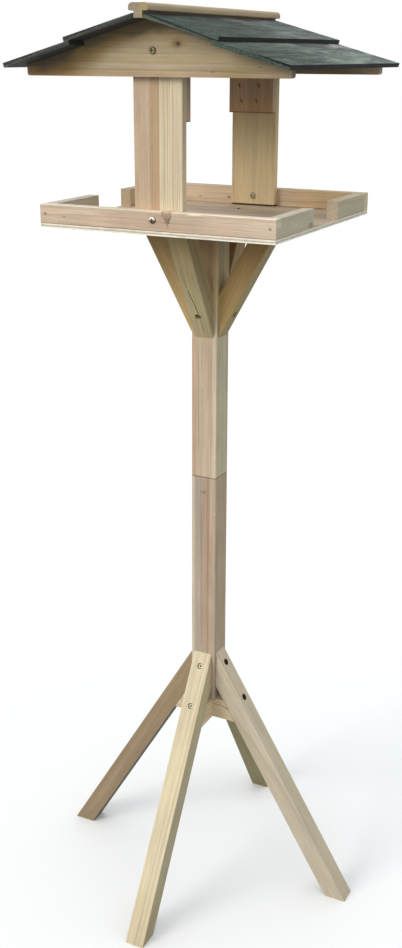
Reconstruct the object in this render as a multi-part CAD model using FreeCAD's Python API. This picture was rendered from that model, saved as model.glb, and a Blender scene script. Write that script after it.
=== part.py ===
import FreeCAD, Part
import math
import os

# A bird table on a square pole with four splayed legs, four braces, a railed tray and a gabled roof.
# Millimetres. +X runs along the front rail, +Y to the rear, +Z up.
# The origin is on the ground, on the pole's axis.

# Legs and braces, cut from one batten stock.
batten_width = 26.0
batten_depth = 26.0
leg_top_height = 341.0
leg_reach = 221.0
brace_length_on_pole = 143.5
brace_reach = 97.0

# Pole in two lengths, with a dowel across the butt joint.
pole_side = 35.0
pole_below_legs = 20.0
lower_pole_length = 328.0
upper_pole_length = 329.5
dowel_diameter = 16.0
dowel_length = 80.0
dowel_clearance = 0.15

# Half-lapped cross that carries the pole's foot and spaces the legs.
spreader_depth = 28.5

# Tray.
tray_width = 300.0
tray_depth = 296.0
floor_thickness = 5.0
rail_height = 22.0
rail_thickness = 14.0
side_gap = 78.0

# Posts and the backing blocks at their heads.
post_width = 61.0
post_thickness = 10.5
post_lift = 0.6
post_top_gap = 8.6
block_thickness = 10.0
block_drop = 47.0

# Gables and roof. The roof hangs past the gables' faces, and its eaves past their heels.
feeding_height = 164.0
gable_overhang = 12.0
gable_heel_height = 11.3
gable_thickness = 10.0
gable_corner_radius = 3.0
roof_pitch = 15.2
roof_overhang = 31.0
eave_overhang = 11.5
roof_board_thickness = 5.0
roof_overlap = 6.0

# Ridge cap, a rounded cap on a narrower stem that drops between the upper boards.
cap_width = 23.0
cap_height = 8.0
cap_top_radius = 4.5
cap_lower_radius = 1.5
stem_width = 10.5
stem_clearance = 0.3
cap_gap = 2.0

# Eased long edges of the planed timber.
arris_radius = 1.0

# Fasteners. The shares are of a head's radius and height.
hole_clearance = 0.15
screw_diameter = 4.0
pan_head_diameter = 8.2
pan_head_height = 2.6
small_screw_diameter = 3.0
small_head_diameter = 5.4
small_head_height = 1.8
sunk_head_diameter = 7.2
sunk_head_height = 2.2
sink_clearance = 0.8
sink_below_face = 2.4
crown_share = 0.45
shoulder_share = 0.8
shoulder_rise_share = 0.75
rim_rise_share = 0.3
recess_width = 1.1
recess_share = 0.62
recess_depth_share = 0.6
tip_length = 4.0
tip_cover = 2.5
tip_axis_gap = 5.5
lap_tip_gap = 4.4
brace_head_embed = 20.0
pole_end_embed = 30.0
pin_diameter = 1.6
pin_head_diameter = 3.2
pin_head_height = 0.8
rail_pin_embed = 16.0
ridge_pin_embed = 16.0
board_nail_embed = 9.0
staple_width = 5.2
staple_wire = 1.0
staple_bite = 6.0
staple_lean = 20.0

# Places of the fasteners.
leg_screw_from_top = 19.0
spreader_screw_drop = 6.8
brace_screw_from_foot = 33.5
lock_screw_drop = 20.0
floor_screw_inset = 17.0
post_screw_height = 12.5
gable_screw_height = 27.0
board_nail_edge = 22.0
long_rail_pins = 4
floor_pin_end = 25.0
side_pin_end = 20.0
corner_pin_gap = 4.0
staple_shift = -3.0
staple_upper_pitch = 27.0
staple_lower_pitch = 21.0
staple_row_pitch = 18.5
staple_rise = 14.5

# Places in plan that follow, measured from the pole's axis.
pole_face = pole_side / 2
rail_outer_y = tray_depth / 2
rail_inner_y = rail_outer_y - rail_thickness
rail_outer_x = tray_width / 2
rail_inner_x = rail_outer_x - rail_thickness
post_inner_y = rail_inner_y - post_thickness
block_inner_y = post_inner_y - block_thickness
gable_outer_y = rail_inner_y + gable_thickness
gable_half_width = rail_outer_x + gable_overhang
roof_end_y = gable_outer_y + roof_overhang
board_inner_x = stem_width / 2 + stem_clearance

# Slopes that follow, each seen in the upright plane through the pole's axis and the piece.
leg_fall = leg_top_height / (leg_reach - pole_face)
leg_angle = math.atan(leg_fall)
brace_rise = brace_length_on_pole / (brace_reach - pole_face)
brace_angle = math.atan(brace_rise)
roof_angle = math.radians(roof_pitch)
roof_fall = math.tan(roof_angle)

# Heights that follow. The pole's foot stands on the spreader, just under the legs' mitres.
leg_contact_low = leg_top_height - batten_depth / math.cos(leg_angle)
pole_bottom_height = leg_contact_low - pole_below_legs
spreader_bottom = pole_bottom_height - spreader_depth
pole_joint_height = pole_bottom_height + lower_pole_length
tray_underside = pole_joint_height + upper_pole_length
brace_foot_height = tray_underside - brace_length_on_pole
floor_top = tray_underside + floor_thickness
rail_top = floor_top + rail_height
gable_bottom = floor_top + feeding_height
seat_at_heel = gable_bottom + gable_heel_height + roof_board_thickness / math.cos(roof_angle)
gable_apex = seat_at_heel + (gable_half_width - board_inner_x) * roof_fall
post_bottom = floor_top + post_lift
post_top = gable_apex - (post_width / 2 - board_inner_x) * roof_fall - post_top_gap
block_bottom = gable_bottom - block_drop
cap_shoulder = gable_apex + roof_board_thickness + cap_gap
cap_top = cap_shoulder + cap_height

# Roof boards: two equal boards share each slope, and the upper one laps over the lower one.
slope_length = (gable_half_width + eave_overhang - board_inner_x) / math.cos(roof_angle)
roof_board_width = (slope_length + roof_overlap) / 2
lower_board_start = roof_board_width - roof_overlap

# Sink holes for the screws whose heads lie below the surface.
sink_depth = sunk_head_height + sink_below_face

# Far enough to reach past any face that a cutting block has to clear.
beyond = 60.0

SIDES = {"right": 0.0, "rear": 90.0, "left": 180.0, "front": 270.0}
UP = FreeCAD.Vector(0, 0, 1)
AXIS_FOOT = FreeCAD.Vector(0, 0, 0)


def vec(x, y, z):
    return FreeCAD.Vector(x, y, z)


def block(x0, x1, y0, y1, z0, z1):
    """Plain box between two corners."""
    return Part.makeBox(x1 - x0, y1 - y0, z1 - z0, vec(x0, y0, z0))


def outline(corners):
    """Closed face in the XZ plane from (x, z, radius) corners, each rounded by its radius."""
    edges = []
    ends = []
    count = len(corners)
    for i, (x, z, radius) in enumerate(corners):
        here = vec(x, 0, z)
        before = vec(corners[i - 1][0], 0, corners[i - 1][1])
        after = vec(corners[(i + 1) % count][0], 0, corners[(i + 1) % count][1])
        if radius <= 0:
            ends.append((here, None, here))
            continue
        back = (before - here).normalize()
        ahead = (after - here).normalize()
        half = back.getAngle(ahead) / 2
        run = radius / math.tan(half)
        inward = (back + ahead).normalize()
        centre = here + inward * (radius / math.sin(half))
        ends.append((here + back * run, centre - inward * radius, here + ahead * run))
    for i, (start, middle, stop) in enumerate(ends):
        if middle is not None:
            edges.append(Part.Arc(start, middle, stop).toShape())
        following = ends[(i + 1) % count][0]
        if (following - stop).Length > 1e-6:
            edges.append(Part.LineSegment(stop, following).toShape())
    return Part.Face(Part.Wire(edges))


def extrude_y(corners, y0, y1):
    """Prism along Y from an outline in the XZ plane."""
    solid = outline(corners).extrude(vec(0, y1 - y0, 0))
    solid.translate(vec(0, y0, 0))
    return solid


def eased_bar(width, depth, length):
    """Planed bar standing on its end at the origin: width along X, depth along Y, length up."""
    half_w = width / 2
    half_d = depth / 2
    corners = [
        (-half_w, -half_d, arris_radius),
        (half_w, -half_d, arris_radius),
        (half_w, half_d, arris_radius),
        (-half_w, half_d, arris_radius),
    ]
    bar = extrude_y(corners, 0, length)
    bar.rotate(AXIS_FOOT, vec(1, 0, 0), 90)
    return bar


def eased_bar_x(x0, x1, y0, y1, z0, z1):
    """Planed bar that lies along X."""
    bar = eased_bar(z1 - z0, y1 - y0, x1 - x0)
    bar.rotate(AXIS_FOOT, vec(0, 1, 0), 90)
    bar.translate(vec(x0, (y0 + y1) / 2, (z0 + z1) / 2))
    return bar


def eased_bar_y(x0, x1, y0, y1, z0, z1):
    """Planed bar that lies along Y."""
    bar = eased_bar(x1 - x0, z1 - z0, y1 - y0)
    bar.rotate(AXIS_FOOT, vec(1, 0, 0), -90)
    bar.translate(vec((x0 + x1) / 2, y0, (z0 + z1) / 2))
    return bar


def eased_bar_z(x0, x1, y0, y1, z0, z1):
    """Planed bar that stands upright."""
    bar = eased_bar(x1 - x0, y1 - y0, z1 - z0)
    bar.translate(vec((x0 + x1) / 2, (y0 + y1) / 2, z0))
    return bar


def turned(shape, side):
    """Copy of a piece made on the right side, turned about the pole's axis to another side."""
    copy = shape.copy()
    copy.rotate(AXIS_FOOT, UP, SIDES[side])
    return copy


def mirrored_y(shape):
    """Copy of a front piece, mirrored to the rear."""
    return shape.mirror(AXIS_FOOT, vec(0, 1, 0))


def revolve(profile):
    """Solid of revolution about Z from (radius, z) points that start and end on the axis."""
    points = [vec(r, 0, z) for r, z in profile]
    points.append(points[0])
    return Part.Face(Part.makePolygon(points)).revolve(AXIS_FOOT, UP, 360)


def driven(shape, at, into):
    """Places a fastener that was made pointing down, so that it is driven at a point in a direction."""
    copy = shape.copy()
    turn = FreeCAD.Rotation(vec(0, 0, -1), into)
    copy.Placement = FreeCAD.Placement(at, turn)
    return copy


def cross_recess(head_diameter, top, depth):
    """Cross-shaped driver recess in the top of a head."""
    reach = head_diameter * recess_share / 2
    half = recess_width / 2
    one = block(-reach, reach, -half, half, top - depth, top + depth)
    other = block(-half, half, -reach, reach, top - depth, top + depth)
    return one.fuse(other)


def wood_screw(length, diameter, head_diameter, head_height, seat):
    """Wood screw whose domed head sits at z = seat and whose tip is at z = -length."""
    radius = diameter / 2
    head = head_diameter / 2
    top = seat + head_height
    profile = [
        (0, top),
        (head * crown_share, top),
        (head * shoulder_share, seat + head_height * shoulder_rise_share),
        (head, seat + head_height * rim_rise_share),
        (head, seat),
        (radius, seat),
        (radius, -length + tip_length),
        (0, -length),
    ]
    return revolve(profile).cut(cross_recess(head_diameter, top, head_height * recess_depth_share))


def pan_screw(length):
    """Screw whose head sits on the surface."""
    return wood_screw(length, screw_diameter, pan_head_diameter, pan_head_height, 0)


def sunk_screw(length):
    """Screw whose head lies below the surface, at the bottom of its sink hole."""
    return wood_screw(length, screw_diameter, sunk_head_diameter, sunk_head_height, -sink_depth)


def pin(length):
    """Round wire nail whose flat head ends level with the surface at z = 0."""
    radius = pin_diameter / 2
    head = pin_head_diameter / 2
    profile = [
        (0, 0),
        (head, 0),
        (head, -pin_head_height),
        (radius, -pin_head_height),
        (radius, -length + pin_diameter),
        (0, -length),
    ]
    return revolve(profile)


def shank_hole(length, diameter):
    """Hole for a fastener's shank, open at the surface."""
    radius = diameter / 2 + hole_clearance
    return Part.makeCylinder(radius, length + hole_clearance, vec(0, 0, -length - hole_clearance))


def sunk_hole(length):
    """Shank hole with a wider sink hole for the head."""
    radius = sunk_head_diameter / 2 + sink_clearance
    sink = Part.makeCylinder(radius, sink_depth * 2, vec(0, 0, -sink_depth))
    return shank_hole(length, screw_diameter).fuse(sink)


def pin_hole(length):
    """Hole for a wire nail, with room for its head."""
    head = Part.makeCylinder(
        pin_head_diameter / 2 + hole_clearance, pin_head_height * 2, vec(0, 0, -pin_head_height)
    )
    return shank_hole(length, pin_diameter).fuse(head)


def cut_all(shape, holes):
    """Cuts every hole out of a piece."""
    for hole in holes:
        shape = shape.cut(hole)
    return shape


# Each fastener is a (solid, hole) pair, already placed.

def placed_pair(solid, hole, at, into):
    return driven(solid, at, into), driven(hole, at, into)


def solids_of(pairs):
    return [pair[0] for pair in pairs]


def holes_of(pairs):
    return [pair[1] for pair in pairs]


def turned_pairs(pair):
    """The pair made on the right side, repeated on all four sides."""
    return {side: (turned(pair[0], side), turned(pair[1], side)) for side in SIDES}


def y_screw(length, y, z, toward_rear):
    """Pan-head screw along Y at x = 0."""
    into = vec(0, 1 if toward_rear else -1, 0)
    return placed_pair(pan_screw(length), shank_hole(length, screw_diameter), vec(0, y, z), into)


def leg_screws():
    """Upper screw into the pole and lower screw into the spreader, square to the leg's outer face."""
    inward = vec(-math.sin(leg_angle), 0, -math.cos(leg_angle))
    crossing_height = pole_bottom_height - spreader_screw_drop
    outer_height = crossing_height + batten_depth * math.cos(leg_angle)
    lower_from_top = (leg_top_height - outer_height) / math.sin(leg_angle)
    lap_edge = batten_width / 2
    pairs = []
    for along, tip_x in ((leg_screw_from_top, tip_axis_gap), (lower_from_top, lap_edge + lap_tip_gap)):
        out = pole_face + along * math.cos(leg_angle)
        height = leg_top_height - along * math.sin(leg_angle)
        length = (out - tip_x) / math.sin(leg_angle)
        pairs.append(placed_pair(sunk_screw(length), sunk_hole(length), vec(out, 0, height), inward))
    return turned_pairs(pairs[0]), turned_pairs(pairs[1])


def brace_screws():
    """One screw through the foot of each brace into the pole, square to the brace's outer face."""
    inward = vec(-math.sin(brace_angle), 0, math.cos(brace_angle))
    out = pole_face + brace_screw_from_foot * math.cos(brace_angle)
    height = brace_foot_height + brace_screw_from_foot * math.sin(brace_angle)
    length = (out - tip_axis_gap) / math.sin(brace_angle)
    return turned_pairs(placed_pair(sunk_screw(length), sunk_hole(length), vec(out, 0, height), inward))


def small_screw_pair(length, at, into):
    solid = wood_screw(length, small_screw_diameter, small_head_diameter, small_head_height, 0)
    return placed_pair(solid, shank_hole(length, small_screw_diameter), at, into)


def floor_brace_screws():
    """Screws down through the tray floor into the heads of the braces."""
    length = floor_thickness + brace_head_embed
    at = vec(brace_reach - floor_screw_inset, 0, floor_top)
    return turned_pairs(small_screw_pair(length, at, vec(0, 0, -1)))


def floor_pole_screw():
    """Screw down through the tray floor into the pole's end grain."""
    length = floor_thickness + pole_end_embed
    at = vec(0, 0, floor_top)
    return placed_pair(pan_screw(length), shank_hole(length, screw_diameter), at, vec(0, 0, -1))


def lock_screw():
    """Screw through the lower pole's front wall into the dowel."""
    length = pole_face + dowel_diameter / 2 - tip_cover
    at = vec(0, -pole_face, pole_joint_height - lock_screw_drop)
    return small_screw_pair(length, at, vec(0, 1, 0))


def rail_pins():
    """Pins through the front and rear rails into the ends of the side rails."""
    length = rail_thickness + rail_pin_embed
    pairs = []
    for x in (-1, 1):
        for y in (-1, 1):
            at = vec(x * (rail_outer_x - rail_thickness / 2), y * rail_outer_y, floor_top + rail_height / 2)
            pairs.append(placed_pair(pin(length), pin_hole(length), at, vec(0, -y, 0)))
    return pairs


def floor_pins():
    """Pins up through the tray floor into every rail."""
    length = floor_thickness + rail_pin_embed
    first = rail_outer_x - floor_pin_end
    pitch = 2 * first / (long_rail_pins - 1)
    spots = []
    for y in (-1, 1):
        for i in range(long_rail_pins):
            spots.append((-first + i * pitch, y * (rail_outer_y - rail_thickness / 2)))
    corner_pin_tip = rail_inner_y - rail_pin_embed
    for x in (-1, 1):
        for y in (side_gap / 2 + side_pin_end, corner_pin_tip - corner_pin_gap):
            spots.append((x * (rail_outer_x - rail_thickness / 2), y))
            spots.append((x * (rail_outer_x - rail_thickness / 2), -y))
    return [placed_pair(pin(length), pin_hole(length), vec(x, y, tray_underside), UP) for x, y in spots]


def slope_point(run, lift):
    """Point on the right roof slope: run down it from the upper board's inner corner, lift off it."""
    x = board_inner_x + run * math.cos(roof_angle) + lift * math.sin(roof_angle)
    z = gable_apex - run * math.sin(roof_angle) + lift * math.cos(roof_angle)
    return x, z


def board_nails(start, base):
    """Nails through one right-hand roof board into both gables."""
    length = roof_board_thickness + board_nail_embed
    into = vec(-math.sin(roof_angle), 0, -math.cos(roof_angle))
    pairs = []
    for run in (start + board_nail_edge, start + roof_board_width - board_nail_edge):
        x, z = slope_point(run, base + roof_board_thickness)
        for y in (-1, 1):
            at = vec(x, y * (gable_outer_y - gable_thickness / 2), z)
            pairs.append(placed_pair(pin(length), pin_hole(length), at, into))
    return pairs


def mirrored_x_pairs(pairs):
    """The right-hand pairs, mirrored to the left."""
    plane = vec(1, 0, 0)
    return [(solid.mirror(AXIS_FOOT, plane), hole.mirror(AXIS_FOOT, plane)) for solid, hole in pairs]


def ridge_pins():
    """One pin down through the ridge cap into each gable."""
    length = cap_top - gable_apex + ridge_pin_embed
    pairs = []
    for y in (-1, 1):
        at = vec(0, y * (gable_outer_y - gable_thickness / 2), cap_top)
        pairs.append(placed_pair(pin(length), pin_hole(length), at, vec(0, 0, -1)))
    return pairs


def staple_pairs():
    """Four staples through the front backing block into the post, crowns leaning off the upright."""
    half = staple_width / 2
    wire = staple_wire
    slack = hole_clearance
    reach = block_thickness + staple_bite
    crown = block(-wire / 2, wire / 2, 0, wire, -half, half)
    legs = []
    holes = []
    for end in (-half, half - wire):
        legs.append(block(-wire / 2, wire / 2, -reach, 0, end, end + wire))
        holes.append(block(-wire / 2 - slack, wire / 2 + slack, -reach - slack, 0,
                           end - slack, end + wire + slack))
    staple = crown.fuse(legs).removeSplitter()
    slots = holes[0].fuse(holes[1])
    pairs = []
    for pitch, rise in ((staple_lower_pitch, 0), (staple_upper_pitch, staple_row_pitch)):
        for x in (-pitch / 2, pitch / 2):
            place = vec(staple_shift + x, -block_inner_y, block_bottom + staple_rise + rise)
            turn = FreeCAD.Rotation(vec(0, 1, 0), -staple_lean)
            placement = FreeCAD.Placement(place, turn)
            solid = staple.copy()
            solid.Placement = placement
            hole = slots.copy()
            hole.Placement = placement
            pairs.append((solid, hole))
    return pairs


def batten_along(height, direction, turn):
    """Overlong batten whose outer face runs from a point on the pole's right face in a direction.

    turn is 1 where the direction falls and -1 where it rises, and puts the batten inside that line.
    """
    bar = eased_bar(batten_depth, batten_width, leg_reach + leg_top_height + 2 * beyond)
    bar.translate(vec(turn * batten_depth / 2, 0, -beyond))
    bar.rotate(AXIS_FOOT, vec(0, 1, 0), math.degrees(math.atan2(direction.x, direction.z)))
    bar.translate(vec(pole_face, 0, height))
    return bar


def make_leg():
    """Right leg: mitred against the pole at its head and cut level on the ground."""
    bar = batten_along(leg_top_height, vec(math.cos(leg_angle), 0, -math.sin(leg_angle)), 1)
    room = block(pole_face, leg_reach + beyond, -batten_width, batten_width, 0, leg_top_height + beyond)
    return bar.common(room)


def make_brace():
    """Right brace: mitred against the pole at its foot and against the tray floor at its head."""
    bar = batten_along(brace_foot_height, vec(math.cos(brace_angle), 0, math.sin(brace_angle)), -1)
    room = block(pole_face, brace_reach + beyond, -batten_width, batten_width,
                 brace_foot_height - beyond, tray_underside)
    return bar.common(room)


def spreader_bar():
    """Cross bar along X, mitred at both ends to the inner faces of two legs."""
    top_reach = pole_face + (leg_contact_low - pole_bottom_height) / leg_fall
    bottom_reach = pole_face + (leg_contact_low - spreader_bottom) / leg_fall
    corners = [
        (-bottom_reach, spreader_bottom, 0),
        (bottom_reach, spreader_bottom, 0),
        (top_reach, pole_bottom_height, 0),
        (-top_reach, pole_bottom_height, 0),
    ]
    return extrude_y(corners, -batten_width / 2, batten_width / 2)


def make_stand():
    """Legs, spreader, pole and braces with their screws."""
    nodes = {}
    upper, lower = leg_screws()
    brace_pairs = brace_screws()
    floor_pairs = floor_brace_screws()
    pole_pair = floor_pole_screw()
    lock_pair = lock_screw()

    leg = make_leg()
    brace = make_brace()
    for side in SIDES:
        nodes["leg_" + side] = cut_all(turned(leg, side), [upper[side][1], lower[side][1]])
        nodes["brace_" + side] = cut_all(turned(brace, side), [brace_pairs[side][1], floor_pairs[side][1]])

    bar = spreader_bar()
    half = batten_width / 2
    middle = pole_bottom_height - spreader_depth / 2
    lap_low = block(-half, half, -half, half, spreader_bottom, middle)
    lap_high = block(-half, half, -half, half, middle, pole_bottom_height)
    nodes["spreader_left_right"] = cut_all(
        bar.cut(lap_low), [lower["left"][1], lower["right"][1]])
    crossing = bar.cut(lap_high)
    crossing.rotate(AXIS_FOOT, UP, 90)
    nodes["spreader_front_rear"] = cut_all(crossing, [lower["front"][1], lower["rear"][1]])

    depth = dowel_length / 2
    dowel = Part.makeCylinder(dowel_diameter / 2, dowel_length, vec(0, 0, pole_joint_height - depth))
    socket = Part.makeCylinder(
        dowel_diameter / 2 + dowel_clearance, dowel_length + 2 * dowel_clearance,
        vec(0, 0, pole_joint_height - depth - dowel_clearance))
    nodes["pole_dowel"] = dowel.cut(lock_pair[1])

    face = pole_face
    low = eased_bar_z(-face, face, -face, face, pole_bottom_height, pole_joint_height)
    high = eased_bar_z(-face, face, -face, face, pole_joint_height, tray_underside)
    upper_holes = [pair[1] for pair in upper.values()]
    nodes["pole_lower"] = cut_all(low, [socket, lock_pair[1]] + upper_holes)
    brace_holes = [pair[1] for pair in brace_pairs.values()]
    nodes["pole_upper"] = cut_all(high, [socket, pole_pair[1]] + brace_holes)

    nodes["leg_screws_upper"] = Part.Compound([pair[0] for pair in upper.values()])
    nodes["leg_screws_lower"] = Part.Compound([pair[0] for pair in lower.values()])
    for side in SIDES:
        nodes["brace_screw_" + side] = brace_pairs[side][0]
    nodes["floor_to_brace_screws"] = Part.Compound([pair[0] for pair in floor_pairs.values()])
    nodes["floor_to_pole_screw"] = pole_pair[0]
    nodes["pole_lock_screw"] = lock_pair[0]
    return nodes


def make_tray():
    """Plywood floor with six rails round its edge, open in the middle of each side."""
    nodes = {}
    side_pairs = rail_pins()
    under_pairs = floor_pins()
    pins_in_rails = holes_of(side_pairs) + holes_of(under_pairs)
    post_front = post_screw("front")
    post_rear = post_screw("rear")

    floor_holes = holes_of(under_pairs) + [floor_pole_screw()[1]]
    floor_holes += [pair[1] for pair in floor_brace_screws().values()]
    floor = block(-rail_outer_x, rail_outer_x, -rail_outer_y, rail_outer_y, tray_underside, floor_top)
    nodes["tray_floor"] = cut_all(floor, floor_holes)

    front = eased_bar_x(-rail_outer_x, rail_outer_x, -rail_outer_y, -rail_inner_y, floor_top, rail_top)
    rear = eased_bar_x(-rail_outer_x, rail_outer_x, rail_inner_y, rail_outer_y, floor_top, rail_top)
    nodes["rail_front"] = cut_all(front, pins_in_rails + [post_front[1]])
    nodes["rail_rear"] = cut_all(rear, pins_in_rails + [post_rear[1]])
    gap = side_gap / 2
    for x_name, x0, x1 in (("left", -rail_outer_x, -rail_inner_x), ("right", rail_inner_x, rail_outer_x)):
        for y_name, y0, y1 in (("front", -rail_inner_y, -gap), ("rear", gap, rail_inner_y)):
            rail = eased_bar_y(x0, x1, y0, y1, floor_top, rail_top)
            nodes["rail_%s_%s" % (x_name, y_name)] = cut_all(rail, pins_in_rails)
    nodes["rail_corner_pins"] = Part.Compound(solids_of(side_pairs))
    nodes["tray_floor_pins"] = Part.Compound(solids_of(under_pairs))
    nodes["post_screw_front"] = post_front[0]
    nodes["post_screw_rear"] = post_rear[0]
    return nodes


def post_screw(end):
    """Screw that holds a post to its rail: from outside at the front, from inside at the rear."""
    length = rail_thickness + post_thickness - tip_cover
    height = floor_top + post_screw_height
    if end == "front":
        return y_screw(length, -rail_outer_y, height, True)
    return y_screw(length, post_inner_y, height, True)


def gable_screw():
    """Screw through the front gable and post into the backing block."""
    length = gable_thickness + post_thickness + block_thickness - tip_cover
    return y_screw(length, -gable_outer_y, gable_bottom + gable_screw_height, True)


def make_posts():
    """Two posts with backing blocks, staples and gable screws."""
    nodes = {}
    half = post_width / 2
    staples = staple_pairs()
    staple_holes = holes_of(staples)
    screw, screw_hole = gable_screw()
    post = eased_bar_z(-half, half, -rail_inner_y, -post_inner_y, post_bottom, post_top)
    post = cut_all(post, staple_holes + [screw_hole])
    backing = eased_bar_z(-half, half, -post_inner_y, -block_inner_y, block_bottom, post_top)
    backing = cut_all(backing, staple_holes + [screw_hole])
    nodes["post_front"] = post.cut(post_screw("front")[1])
    nodes["post_rear"] = mirrored_y(post).cut(post_screw("rear")[1])
    nodes["post_block_front"] = backing
    nodes["post_block_rear"] = mirrored_y(backing)
    stapled = Part.Compound(solids_of(staples))
    nodes["block_staples_front"] = stapled
    nodes["block_staples_rear"] = mirrored_y(stapled)
    nodes["gable_screw_front"] = screw
    nodes["gable_screw_rear"] = mirrored_y(screw)
    return nodes


def make_gable(holes):
    """Front gable: level foot, short upright heels and a stepped top edge that seats the boards."""
    tread_x, tread_z = slope_point(lower_board_start, 0)
    step_x, step_z = slope_point(lower_board_start, -roof_board_thickness)
    peak_x, peak_z = slope_point(0, 0)
    right = [
        (gable_half_width, gable_bottom, gable_corner_radius),
        (gable_half_width, gable_bottom + gable_heel_height, 0),
        (step_x, step_z, 0),
        (tread_x, tread_z, 0),
        (peak_x, peak_z, 0),
    ]
    left = [(-x, z, radius) for x, z, radius in reversed(right)]
    board = extrude_y(right + left, -gable_outer_y, -rail_inner_y)
    return cut_all(board, holes)


def roof_board(start, base):
    """Right-hand roof board, square at both edges, that starts a run down the slope."""
    low_in = slope_point(start, base)
    low_out = slope_point(start + roof_board_width, base)
    high_out = slope_point(start + roof_board_width, base + roof_board_thickness)
    high_in = slope_point(start, base + roof_board_thickness)
    corners = [(x, z, 0) for x, z in (low_in, low_out, high_out, high_in)]
    return extrude_y(corners, -roof_end_y, roof_end_y)


def make_cap(holes):
    """Ridge cap: rounded cap on a stem."""
    half = cap_width / 2
    stem = stem_width / 2
    right = [
        (stem, gable_apex, 0),
        (stem, cap_shoulder, 0),
        (half, cap_shoulder, cap_lower_radius),
        (half, cap_top, cap_top_radius),
    ]
    left = [(-x, z, radius) for x, z, radius in reversed(right)]
    return cut_all(extrude_y(right + left, -roof_end_y, roof_end_y), holes)


def make_roof():
    """Gables, four overlapping boards and the ridge cap, nailed together."""
    nodes = {}
    upper_nails = board_nails(0, 0)
    lower_nails = board_nails(lower_board_start, -roof_board_thickness)
    nails = upper_nails + lower_nails
    nails += mirrored_x_pairs(nails)
    caps = ridge_pins()
    front_holes = holes_of(nails) + holes_of(caps) + [gable_screw()[1]]
    gable = make_gable(front_holes)
    nodes["gable_front"] = gable
    nodes["gable_rear"] = mirrored_y(gable)

    upper = cut_all(roof_board(0, 0), holes_of(upper_nails))
    lower = cut_all(roof_board(lower_board_start, -roof_board_thickness), holes_of(lower_nails))
    nodes["roof_board_right_upper"] = upper
    nodes["roof_board_right_lower"] = lower
    nodes["roof_board_left_upper"] = upper.mirror(AXIS_FOOT, vec(1, 0, 0))
    nodes["roof_board_left_lower"] = lower.mirror(AXIS_FOOT, vec(1, 0, 0))
    nodes["ridge_cap"] = make_cap(holes_of(caps))
    nodes["roof_board_nails"] = Part.Compound(solids_of(nails))
    nodes["ridge_cap_pins"] = Part.Compound(solids_of(caps))
    return nodes


def main():
    os.makedirs("parts", exist_ok=True)
    nodes = {}
    nodes.update(make_stand())
    nodes.update(make_tray())
    nodes.update(make_posts())
    nodes.update(make_roof())
    for name, shape in sorted(nodes.items()):
        shape.exportStep("parts/%s.step" % name)
        box = shape.BoundBox
        print("%-24s solids %2d valid %s volume %10.1f z %7.1f to %7.1f" % (
            name, len(shape.Solids), shape.isValid(), shape.Volume, box.ZMin, box.ZMax))
    print(len(nodes), "nodes")


main()
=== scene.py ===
import math

import bpy
from mathutils import Matrix, Vector


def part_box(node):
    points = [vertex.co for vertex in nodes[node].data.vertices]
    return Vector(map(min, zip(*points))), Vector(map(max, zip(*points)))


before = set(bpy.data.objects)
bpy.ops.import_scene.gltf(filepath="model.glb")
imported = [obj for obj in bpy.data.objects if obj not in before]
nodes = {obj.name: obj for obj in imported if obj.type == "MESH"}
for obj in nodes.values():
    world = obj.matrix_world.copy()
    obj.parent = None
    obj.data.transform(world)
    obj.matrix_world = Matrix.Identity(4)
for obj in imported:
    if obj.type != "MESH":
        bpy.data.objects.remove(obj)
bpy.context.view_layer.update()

# A bird table of planed softwood, seen from its front right and a little above its tray.
# Places on the object are written in millimetres, as they lie in the frame: X right, Y rear, Z up.
# The materials themselves reckon in metres.
MM = 0.001

X = Vector((1, 0, 0))
Y = Vector((0, 1, 0))
Z = Vector((0, 0, 1))
SIDES = {"right": X, "rear": Y, "left": -X, "front": -Y}


def tone(red, green, blue):
    """Linear colour from the 0 to 255 sRGB values that a screen shows."""
    shares = [value / 255 for value in (red, green, blue)]
    return (*[s / 12.92 if s <= 0.04045 else ((s + 0.055) / 1.055) ** 2.4 for s in shares], 1.0)


KNOT_CORE = (84, 58, 40)
KNOT_HALO = (142, 106, 68)
CRACK = (52, 38, 26)
DIRT = (70, 58, 46)
SINK_RADIUS = 4.5 * MM
LEG_SCREWS = ("leg_screws_upper", "leg_screws_lower")
SEED_STEP = (7.3, 3.1, 5.7)  # How far one seed's noise lies from the next one's.


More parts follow.
